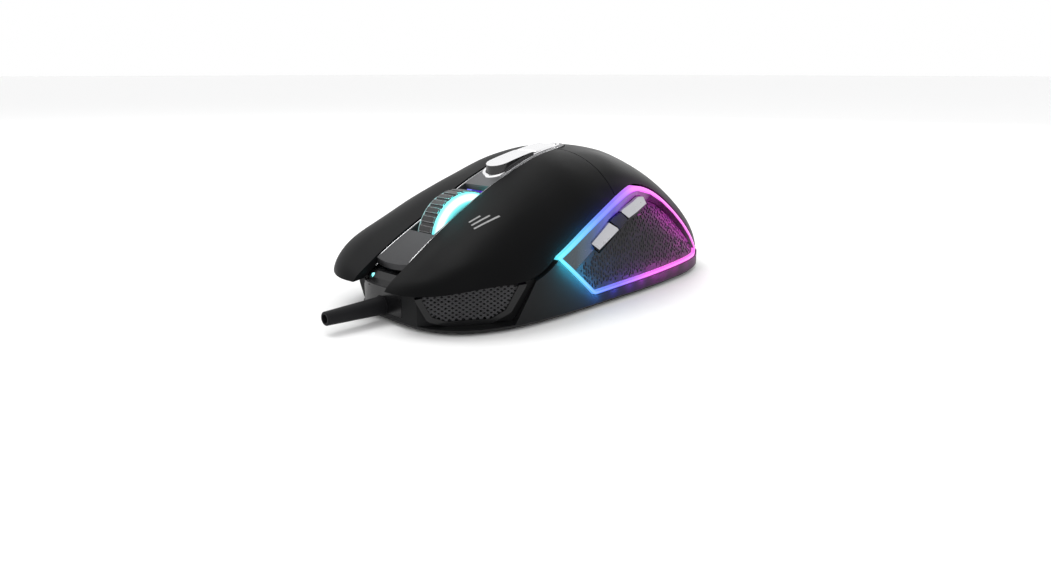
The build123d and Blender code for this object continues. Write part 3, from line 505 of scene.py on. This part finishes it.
def grain(verts, faces, spine_points, normal, wide):
    """A low rounded seed shape: six-sided at its middle, pointed at both ends."""
    bottom, middle, top = spine_points
    across = normal.cross(top - bottom).normalized() * wide / 2
    up = normal * 0.17 * MM
    start = len(verts)
    verts += [bottom - up * 0.3, top - up * 0.3]
    for t in (0.25, 0.75):
        at = bottom.lerp(top, t) + (middle - bottom.lerp(top, 0.5)) * 0.75
        verts += [at - across - up * 0.4, at - across * 0.55 + up * 0.8]
        verts += [at + across * 0.55 + up * 0.8, at + across - up * 0.4]
    a, b = start + 2, start + 6
    faces += [(start, a + k + 1, a + k) for k in range(3)]
    faces += [(start + 1, b + k, b + k + 1) for k in range(3)]
    faces += [(a + k, a + k + 1, b + k + 1, b + k) for k in range(3)]
    faces += [(start, a, a + 3), (start + 1, b + 3, b), (a, b, b + 3, a + 3)]


def emblem():
    """Generic printed mark on the left button: three slanted bars, each shorter than the last."""
    verts, faces = [], []
    place, slant = Vector((-15.5 * MM, 31.5 * MM)), Vector((0.35, 1.0)).normalized()
    beside = Vector((slant.y, -slant.x))
    steps = 8
    for k, length in enumerate((7.2, 5.2, 3.2)):
        middle = place + beside * (k - 1) * 1.9 * MM + slant * (k - 1) * 0.9 * MM
        flat = [middle + slant * length * MM * (t / steps - 0.5) for t in range(steps + 1)]
        hits = [land("left_button", (*spot, CLEAR_OF), (0, 0, -1)) for spot in flat]
        strip(verts, faces, [p for p, _ in hits], [n for _, n in hits], 0.75 * MM, 0.02 * MM)
    ink = printed_mark("mark_print")
    add_piece("button_mark", verts, faces, ink, "left_button", smooth=False)


def console_rims():
    """Bright hairline rims along both sides of the console."""
    low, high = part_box("spine")
    verts, faces = [], []
    steps, inset, widens_from = 60, 5.38, 34
    for side in (-1, 1):
        points, normals = [], []
        for k in range(steps + 1):
            y = low[1] + 5.8 * MM + (high[1] - low[1] - 7.2 * MM) * k / steps
            x = side * (inset + min(max((y / MM - widens_from) / 14, 0), 1)) * MM
            point, normal = land("spine", (x, y, CLEAR_OF), (0, 0, -1))
            if point is not None and normal.z > 0.4:
                points.append(point)
                normals.append(normal)
        strip(verts, faces, points, normals, 0.26 * MM, 0.06 * MM)
    add_piece("console_rims", verts, faces, MATERIALS["bright"], "base")


POD_TURN = math.radians(32.3)  # of the pods' faces, from the body's side to its nose
WIRE_PITCH, WIRE_SLOPE = 1.0 * MM, math.radians(34)


def weave(side, word):
    """Diagonal wire weave over the pod's panel, clipped to the panel's outline."""
    node = f"{word}_grille"
    out = Vector((side * math.cos(POD_TURN), math.sin(POD_TURN), 0))
    along = Vector((side * math.sin(POD_TURN), -math.cos(POD_TURN), 0))
    front = max(v.co.dot(out) for v in nodes[node].data.vertices)
    corners = [v.co for v in nodes[node].data.vertices if v.co.dot(out) > front - 0.05 * MM]
    outline = hull([(c.dot(along), c.z) for c in corners])
    verts, faces = [], []
    for turned in (-1, 1):
        run = Vector((math.cos(WIRE_SLOPE), turned * math.sin(WIRE_SLOPE)))
        aside = Vector((-run.y, run.x))
        offsets = [Vector(c).dot(aside) for c in outline]
        count = int((max(offsets) - min(offsets)) / WIRE_PITCH)
        for k in range(1, count + 1):
            origin = aside * (min(offsets) + k * WIRE_PITCH * 0.985)
            span = clip_line(outline, origin, run)
            if span is not None and span[1] - span[0] >= 0.8 * MM:
                wire(verts, faces, origin, run, span, k, turned, (along, out, front))
    add_piece(f"{word}_grille_weave", verts, faces, WEAVE, "base")


def wire(verts, faces, origin, run, span, number, turned, axes):
    """One wire of the weave, rising and falling past the wires that cross it."""
    along, out, front = axes
    wave, wide = WIRE_PITCH / math.sin(2 * WIRE_SLOPE), 0.46 * MM
    steps = max(int((span[1] - span[0]) / (wave / 2)), 2)
    points = []
    for i in range(steps + 1):
        t = span[0] + (span[1] - span[0]) * i / steps
        flat = origin + run * t
        lift = front + (0.16 + 0.1 * turned * math.cos(math.pi * t / wave + math.pi * number)) * MM
        points.append(along * flat.x + Vector((0, 0, flat.y)) + out * lift)
    strip(verts, faces, points, [out] * len(points), wide, 0.08 * MM)


def hull(points):
    """Convex outline of flat points, anticlockwise."""
    points = sorted(set((round(x, 6), round(y, 6)) for x, y in points))

    def half(ordered):
        chain = []
        for p in ordered:
            while len(chain) > 1 and turn_of(chain[-2], chain[-1], p) <= 0:
                chain.pop()
            chain.append(p)
        return chain[:-1]

    return half(points) + half(points[::-1])


def turn_of(a, b, c):
    """Positive where the path from a through b to c turns left."""
    return (b[0] - a[0]) * (c[1] - a[1]) - (b[1] - a[1]) * (c[0] - a[0])


def clip_line(outline, origin, run):
    """Start and end of the stretch of a line that lies inside a convex outline, or None."""
    low, high = -1.0, 1.0
    for a, b in zip(outline, outline[1:] + outline[:1]):
        inward = Vector((a[1] - b[1], b[0] - a[0]))
        gap, rate = (origin - Vector(a)).dot(inward), run.dot(inward)
        if abs(rate) < 1e-12:
            if gap < 0:
                return None
        elif rate > 0:
            low = max(low, -gap / rate)
        else:
            high = min(high, -gap / rate)
    return (low, high) if high > low else None


WEAVE = satin_plastic("weave_wire", (0.035, 0.035, 0.037), 0.36, 0.1, 0.3)
for side, word in ((-1, "left"), (1, "right")):
    grip_texture(side, word)
    weave(side, word)
emblem()
console_rims()


# ---------------------------------------------------------------- glow of the lit parts
def ring_colour(y_mm):
    """The ring's colour at one place along the body."""
    for (low, a), (high, b) in zip(RING_COLOURS, RING_COLOURS[1:]):
        if y_mm <= high:
            t = min(max((y_mm - low) / (high - low), 0), 1)
            return tuple(p + (q - p) * t for p, q in zip(a, b))
    return RING_COLOURS[-1][1]


def glow_light(name, place, colour, power, radius, receivers):
    """A small unseen light just off a lit part, for the halo on the surfaces beside it."""
    data = bpy.data.lights.new(name, "POINT")
    data.energy, data.color, data.shadow_soft_size = power, colour, radius
    obj = bpy.data.objects.new(name, data)
    obj.location = place
    obj.visible_camera = obj.visible_glossy = False
    obj.light_linking.receiver_collection = receivers
    bpy.context.collection.objects.link(obj)


def ring_glow(side, word, receivers):
    """Lights spaced evenly round the ring, a little outside it."""
    node = f"{word}_light_guide"
    low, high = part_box(node)
    middle = (Vector(low) + Vector(high)) / 2
    count, squash = 40, 3  # the ring is about three times as long as it is high

    def angle_of(point):
        return math.atan2((point.z - middle.z) * squash, point.y - middle.y)

    for k in range(count):
        angle = 2 * math.pi * k / count
        sector = [v.co for v in nodes[node].data.vertices
                  if abs(wrap(angle_of(v.co) - angle)) < math.pi / count]
        if not sector:
            continue
        spot = sum(sector, Vector()) / len(sector)
        outermost = max(side * c.x for c in sector)
        outward = Vector((0, spot.y - middle.y, (spot.z - middle.z) * squash)).normalized()
        place = Vector((side * (outermost + 1.8 * MM), spot.y, spot.z)) + outward * 0.5 * MM
        colour = ring_colour(spot.y / MM)
        glow_light(f"{word}_ring_glow_{k}", place, colour, RING_POWER, 0.8 * MM, receivers)


def wrap(angle):
    """The same angle between minus and plus half a turn."""
    return (angle + math.pi) % (2 * math.pi) - math.pi


def wheel_glow(receivers):
    """Lights just outside the wheel's left cover, where it stands out of the console."""
    low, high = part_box("wheel_lights")
    for k, (share, below_mm) in enumerate(((0.42, 0.5), (0.64, 0.2), (0.86, 2.2))):
        y = low[1] + share * (high[1] - low[1])
        place = Vector((low[0] - 1.2 * MM, y, high[2] - below_mm * MM))
        glow_light(f"wheel_glow_{k}", place, CYAN, WHEEL_POWER, 0.6 * MM, receivers)


RING_POWER, WHEEL_POWER = 0.005, 0.006  # watts of each light
shells = bpy.data.collections.new("glow_receivers")
for name in ("left_button", "right_button", "palm_shell", "base_shell", "left_grip", "right_grip", "spine",
             "wheel_tyre", "key_trim"):
    shells.objects.link(nodes[name])
for side, word in ((-1, "left"), (1, "right")):
    ring_glow(side, word, shells)
wheel_glow(shells)


# ---------------------------------------------------------------- studio
FLOOR_REACH = 12.0  # metres
WORLD_STRENGTH = 1.0


def floor():
    """A wide pale floor that fades into the white surroundings."""
    mesh = bpy.data.meshes.new("floor")
    corners = [(-FLOOR_REACH, -FLOOR_REACH, 0), (FLOOR_REACH, -FLOOR_REACH, 0),
               (FLOOR_REACH, FLOOR_REACH, 0), (-FLOOR_REACH, FLOOR_REACH, 0)]
    mesh.from_pydata(corners, [], [(0, 1, 2, 3)])
    obj = bpy.data.objects.new("floor", mesh)
    bpy.context.collection.objects.link(obj)
    s = Shader("floor_paper", (0.93, 0.93, 0.93), 0.7, specular=0.2)
    tone = s.ramp(s.noise(4, 4), 0, 1, 0.3, 0.7)
    s.set(s.surface, "Base Color", s.mix(tone, (0.925, 0.925, 0.925), (0.94, 0.94, 0.94)))
    mesh.materials.append(s.material)


def area_light(name, place, target, size, power):
    data = bpy.data.lights.new(name, "AREA")
    data.shape, data.size, data.energy = "DISK", size, power
    obj = bpy.data.objects.new(name, data)
    obj.location = place
    obj.rotation_euler = (Vector(target) - Vector(place)).to_track_quat("-Z", "Y").to_euler()
    bpy.context.collection.objects.link(obj)


def studio():
    """Soft white surroundings with three weak discs of light for form."""
    middle = (0, 0, 0.02)
    area_light("key", (0.35, 0.10, 0.75), middle, 0.5, 2.4)
    area_light("fill", (-0.7, 0.5, 0.5), middle, 0.8, 0.8)
    area_light("rim", (0.3, -0.7, 0.4), middle, 0.5, 1.2)
    world = bpy.data.worlds.new("studio")
    world.use_nodes = True
    world.node_tree.nodes["Background"].inputs["Color"].default_value = (1, 1, 1, 1)
    world.node_tree.nodes["Background"].inputs["Strength"].default_value = WORLD_STRENGTH
    bpy.context.scene.world = world
    bpy.context.scene.view_settings.view_transform = "Standard"


def camera():
    """The photograph's viewpoint: front left, a little above."""
    data = bpy.data.cameras.new("camera")
    data.sensor_width = 36.0
    data.lens = 27.874
    data.clip_start, data.clip_end = 0.01, 20
    obj = bpy.data.objects.new("camera", data)
    obj.location = (-0.1694, 0.1705, 0.063)
    ahead = Vector((0.68075, -0.68747, -0.25292))
    obj.rotation_euler = ahead.to_track_quat("-Z", "Y").to_euler()
    bpy.context.collection.objects.link(obj)
    bpy.context.scene.camera = obj


floor()
studio()
camera()
